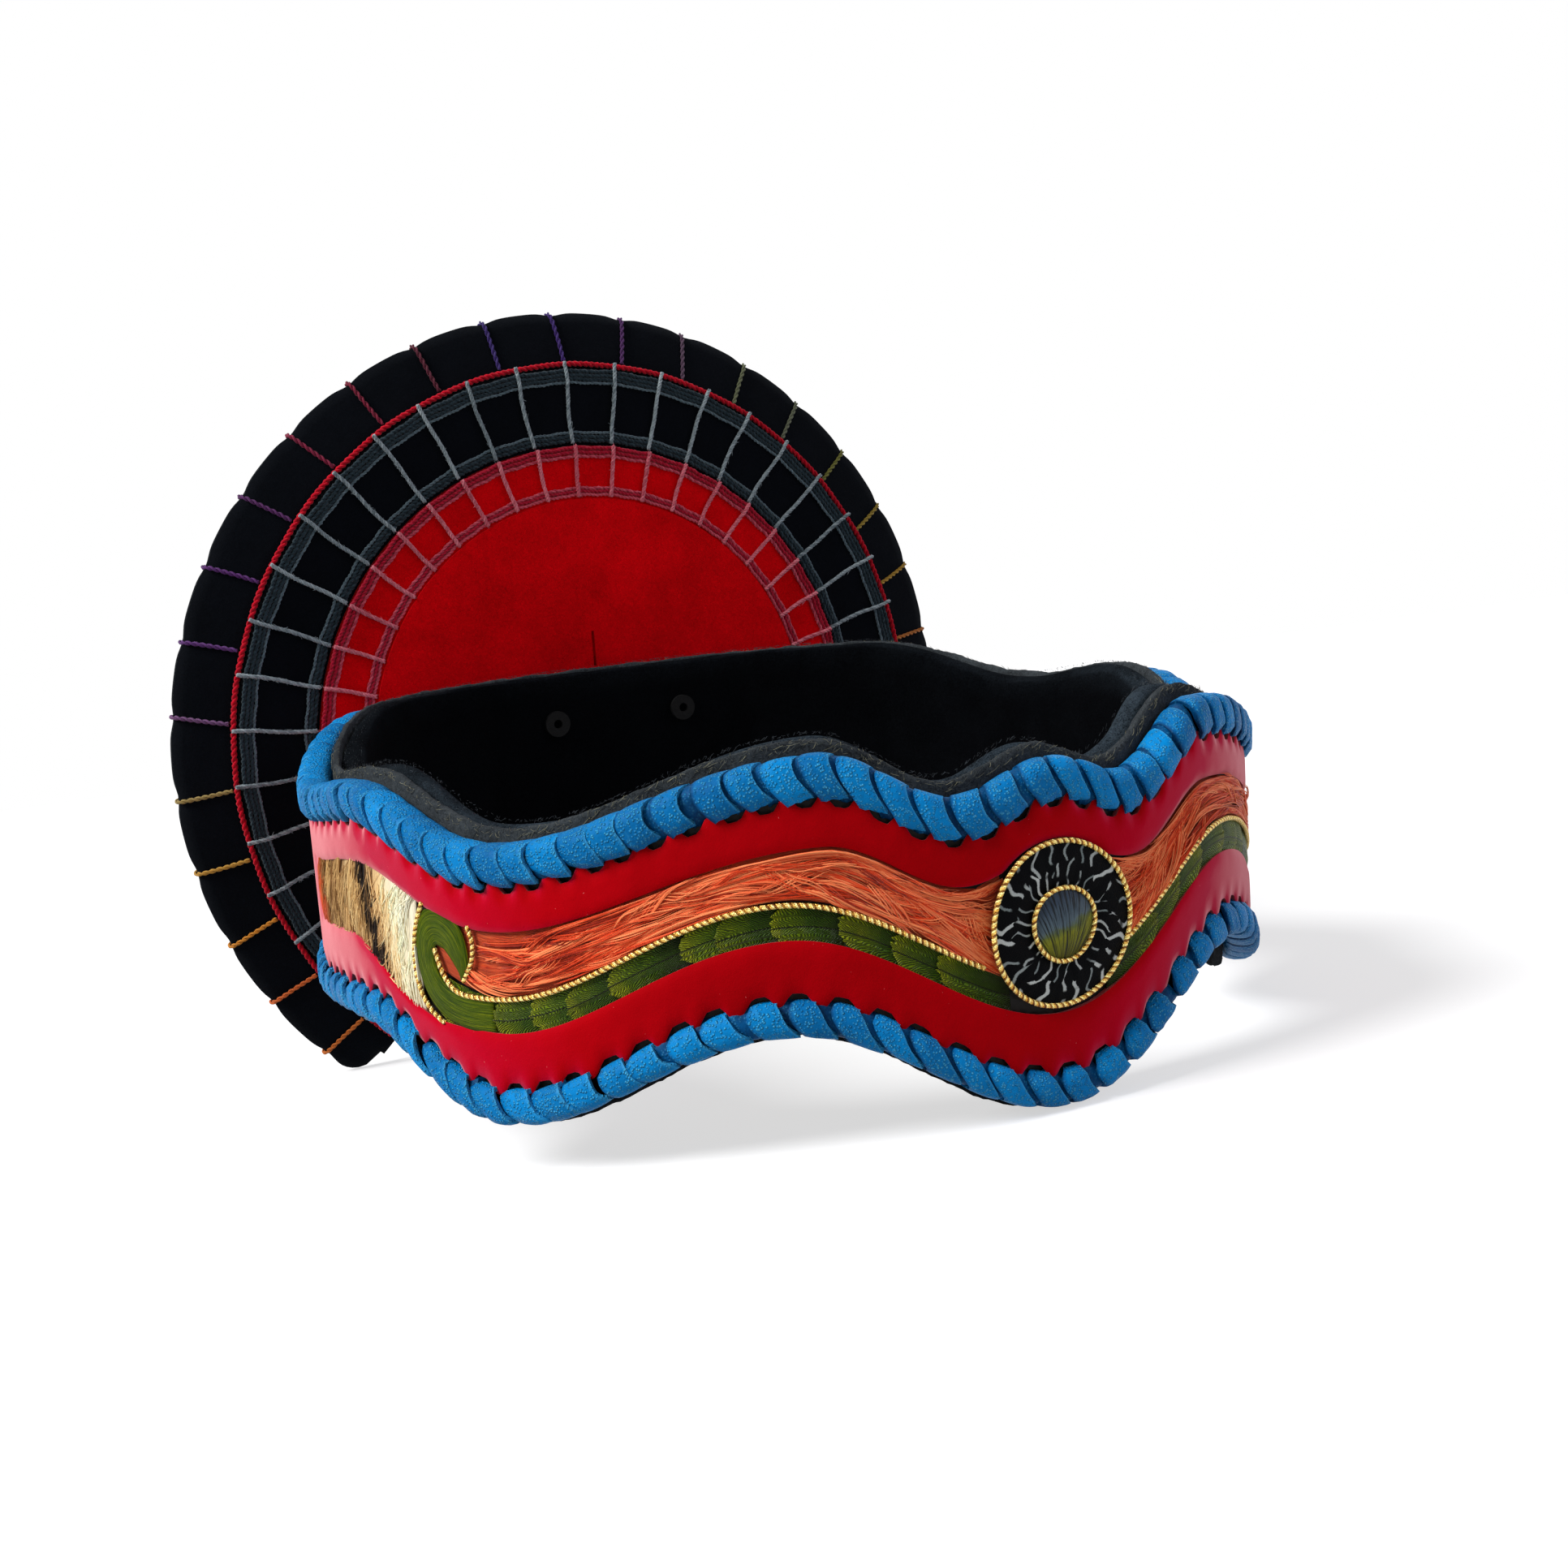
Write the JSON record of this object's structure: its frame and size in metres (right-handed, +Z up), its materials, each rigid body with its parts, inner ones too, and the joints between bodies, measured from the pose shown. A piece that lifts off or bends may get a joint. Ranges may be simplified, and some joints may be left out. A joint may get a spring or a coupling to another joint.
{
  "type": "feather-work headdress band",
  "caption": "Wavy leather headband with laced edges, padded felt lining, feather mosaic and round medallion, and a round three-tier plume plate riveted behind its back.",
  "frame": {"origin": "bottom centre of the bounding box of the headdress at rest", "axes": "+Z up; -Y is the wearer's front with the medallion, +Y the back with the plume plate; the YZ plane is the plane of symmetry"},
  "size_m": [0.2162, 0.2192, 0.1847],
  "materials": {
    "core_leather": "matt vegetable-tanned board leather",
    "red_leather": "smooth dyed leather with a soft sheen",
    "blue_lace": "pebbled dyed lace",
    "black_felt": "fine matt felt",
    "wool_felt": "rough wool felt with pale fibres",
    "orange_feather": "fine feather barbs",
    "green_feather": "overlapping feather tips",
    "banded_feather": "cream feather with dark bands",
    "gold_cord": "twisted metallic cord",
    "speckled_feather": "black feather with pale squiggles",
    "slate_feather": "small slate and olive feather",
    "black_leather": "matt black leather",
    "red_felt": "smooth matt felt",
    "red_cord": "thin cord",
    "coloured_thread": "thread in changing colours",
    "grey_yarn": "soft yarn",
    "pink_yarn": "soft yarn",
    "rivet_metal": "black oxide"
  },
  "bodies": {
    "root": {"band_core": "core_leather", "banded_feather_left": "banded_feather", "banded_feather_right": "banded_feather", "border_cord_left": "gold_cord", "border_cord_right": "gold_cord", "closure_patch": "core_leather", "curl_cord_left": "gold_cord", "curl_cord_right": "gold_cord", "face_leather": "red_leather", "green_curl_left": "green_feather", "green_curl_right": "green_feather", "green_feathers_left": "green_feather", "green_feathers_right": "green_feather", "grey_yarn_grid": "grey_yarn", "lining_pad": "black_felt", "lower_hem_felt": "wool_felt", "lower_lacing": "blue_lace", "medallion_centre": "slate_feather", "medallion_cord": "gold_cord", "medallion_disc": "speckled_feather", "medallion_inner_cord": "gold_cord", "orange_feathers_left": "orange_feather", "orange_feathers_right": "orange_feather", "pink_yarn_grid": "pink_yarn", "plate_backing": "core_leather", "plate_base": "black_leather", "plate_centre_felt": "red_felt", "plate_inner_tier": "red_felt", "plate_middle_tier": "black_leather", "plate_red_cord": "red_cord", "rim_threads": "coloured_thread", "rivet_left": "rivet_metal", "rivet_right": "rivet_metal", "rivet_washer_left": "rivet_metal", "rivet_washer_right": "rivet_metal", "upper_edge_felt": "wool_felt", "upper_lacing": "blue_lace"}
  },
  "joints": []
}
